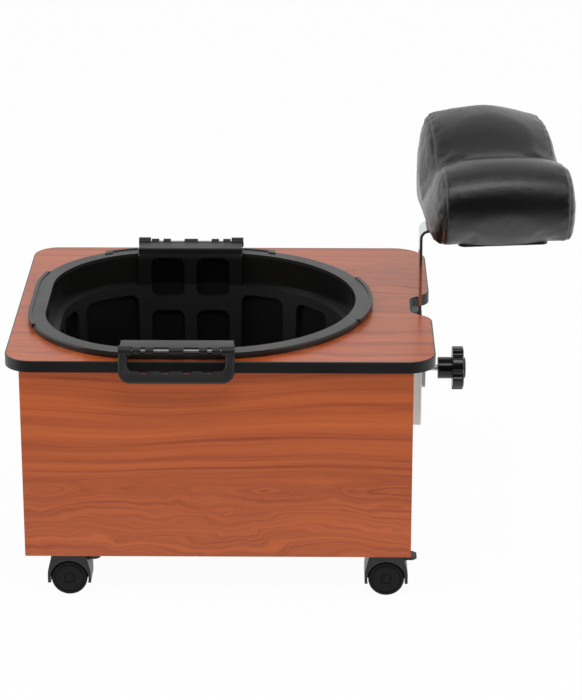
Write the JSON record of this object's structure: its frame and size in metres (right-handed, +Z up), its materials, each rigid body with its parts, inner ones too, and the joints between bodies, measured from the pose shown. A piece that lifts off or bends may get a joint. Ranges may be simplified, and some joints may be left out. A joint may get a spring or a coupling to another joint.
{
  "type": "pedicure cart with foot tub and footrest",
  "caption": "Rolling wooden box with a lift-out foot tub in its top and a padded footrest on a flat bar that slides in a clamped channel.",
  "frame": {"origin": "on the floor under the middle of the top board", "axes": "+X to the right, towards the footrest; +Y to the back; +Z up"},
  "size_m": [0.779, 0.528, 0.6243],
  "materials": {
    "cherry_laminate": "printed cherry laminate, satin",
    "bare_board": "particle board, unfinished",
    "beech": "bare beech",
    "black_edging": "satin vinyl",
    "black_tub_plastic": "gloss above, matte below the ledge",
    "black_plastic": "fine matte texture",
    "bright_steel": "polished",
    "black_vinyl": "soft vinyl, semi-gloss",
    "grey_channel": "satin",
    "yellow_metal": "yellow zinc plated",
    "black_gloss_plastic": "polished",
    "zinc_steel": "zinc plated",
    "wheel_plastic": "satin nylon",
    "caster_plastic": "satin nylon"
  },
  "bodies": {
    "cart": {"top_board": "cherry_laminate", "top_edging": "black_edging", "front_panel": "cherry_laminate", "back_panel": "cherry_laminate", "left_panel": "cherry_laminate", "right_panel": "cherry_laminate", "floor_board": "bare_board", "dowels": "beech", "corner_blocks": "bare_board", "block_screws": "zinc_steel", "channel": "grey_channel", "channel_screws": "zinc_steel", "bar_guide": "black_plastic", "nut_plate": "yellow_metal", "front_left_socket": "caster_plastic", "front_left_stem": "zinc_steel", "front_right_socket": "caster_plastic", "front_right_stem": "zinc_steel", "back_left_socket": "caster_plastic", "back_left_stem": "zinc_steel", "back_right_socket": "caster_plastic", "back_right_stem": "zinc_steel"},
    "tub": {"foot_tub": "black_tub_plastic", "front_hinge_plate": "black_plastic", "front_hinge_rod": "bright_steel", "back_hinge_plate": "black_plastic", "back_hinge_rod": "bright_steel"},
    "front_bail": {"front_handle": "black_plastic"},
    "back_bail": {"back_handle": "black_plastic"},
    "footrest": {"footrest_bar": "bright_steel", "cushion_board": "bare_board", "cushion_screws": "zinc_steel", "cushion_pad": "black_vinyl"},
    "clamp": {"clamp_pad": "yellow_metal"},
    "knob": {"clamp_screw": "zinc_steel", "star_knob": "black_gloss_plastic", "knob_cap": "black_gloss_plastic"},
    "front_left_fork": {"front_left_hood": "caster_plastic", "front_left_brake_pin": "zinc_steel"},
    "front_left_wheels": {"front_left_axle": "zinc_steel", "front_left_outer_wheel": "wheel_plastic", "front_left_inner_wheel": "wheel_plastic"},
    "front_left_brake": {"front_left_brake_lever": "caster_plastic"},
    "front_right_fork": {"front_right_hood": "caster_plastic", "front_right_brake_pin": "zinc_steel"},
    "front_right_wheels": {"front_right_axle": "zinc_steel", "front_right_outer_wheel": "wheel_plastic", "front_right_inner_wheel": "wheel_plastic"},
    "front_right_brake": {"front_right_brake_lever": "caster_plastic"},
    "back_left_fork": {"back_left_hood": "caster_plastic"},
    "back_left_wheels": {"back_left_axle": "zinc_steel", "back_left_outer_wheel": "wheel_plastic", "back_left_inner_wheel": "wheel_plastic"},
    "back_right_fork": {"back_right_hood": "caster_plastic"},
    "back_right_wheels": {"back_right_axle": "zinc_steel", "back_right_outer_wheel": "wheel_plastic", "back_right_inner_wheel": "wheel_plastic"}
  },
  "joints": [
    {"name": "tub_lift", "type": "slide", "parent": "cart", "child": "tub", "axis": [0, 0, 1], "range_m": [0, 0.3]},
    {"name": "front_handle_swing", "type": "hinge", "parent": "tub", "child": "front_bail", "pos_m": [-0.0575, -0.243, 0.3724], "axis": [-1, 0, 0], "range_deg": [0, 190]},
    {"name": "back_handle_swing", "type": "hinge", "parent": "tub", "child": "back_bail", "pos_m": [-0.0575, 0.223, 0.3724], "axis": [1, 0, 0], "range_deg": [0, 150]},
    {"name": "footrest_height", "type": "slide", "parent": "cart", "child": "footrest", "axis": [0, 0, 1], "range_m": [-0.09, 0.06]},
    {"name": "clamp_travel", "type": "slide", "parent": "cart", "child": "clamp", "axis": [1, 0, 0], "range_m": [0, 0.00126]},
    {"name": "knob_turn", "type": "hinge", "parent": "clamp", "child": "knob", "pos_m": [0.3, -0.014, 0.2625], "axis": [1, 0, 0], "range_deg": [0, 360]},
    {"name": "front_left_swivel", "type": "hinge", "parent": "cart", "child": "front_left_fork", "pos_m": [-0.2255, -0.197, 0.055], "axis": [0, 0, 1], "continuous": true},
    {"name": "front_left_roll", "type": "hinge", "parent": "front_left_fork", "child": "front_left_wheels", "pos_m": [-0.2125, -0.197, 0.025], "axis": [0, 1, 0], "continuous": true},
    {"name": "front_left_brake_press", "type": "hinge", "parent": "front_left_fork", "child": "front_left_brake", "pos_m": [-0.1955, -0.197, 0.0515], "axis": [0, 1, 0], "range_deg": [0, 10]},
    {"name": "front_right_swivel", "type": "hinge", "parent": "cart", "child": "front_right_fork", "pos_m": [0.2155, -0.197, 0.055], "axis": [0, 0, 1], "continuous": true},
    {"name": "front_right_roll", "type": "hinge", "parent": "front_right_fork", "child": "front_right_wheels", "pos_m": [0.2285, -0.197, 0.025], "axis": [0, 1, 0], "continuous": true},
    {"name": "front_right_brake_press", "type": "hinge", "parent": "front_right_fork", "child": "front_right_brake", "pos_m": [0.2455, -0.197, 0.0515], "axis": [0, 1, 0], "range_deg": [0, 10]},
    {"name": "back_left_swivel", "type": "hinge", "parent": "cart", "child": "back_left_fork", "pos_m": [-0.2255, 0.197, 0.055], "axis": [0, 0, 1], "continuous": true},
    {"name": "back_left_roll", "type": "hinge", "parent": "back_left_fork", "child": "back_left_wheels", "pos_m": [-0.2125, 0.197, 0.025], "axis": [0, 1, 0], "continuous": true},
    {"name": "back_right_swivel", "type": "hinge", "parent": "cart", "child": "back_right_fork", "pos_m": [0.2155, 0.197, 0.055], "axis": [0, 0, 1], "continuous": true},
    {"name": "back_right_roll", "type": "hinge", "parent": "back_right_fork", "child": "back_right_wheels", "pos_m": [0.2285, 0.197, 0.025], "axis": [0, 1, 0], "continuous": true}
  ],
  "couplings": [
    {"joint": "clamp_travel", "follows": "knob_turn", "m_per_rad": 0.00019894}
  ]
}
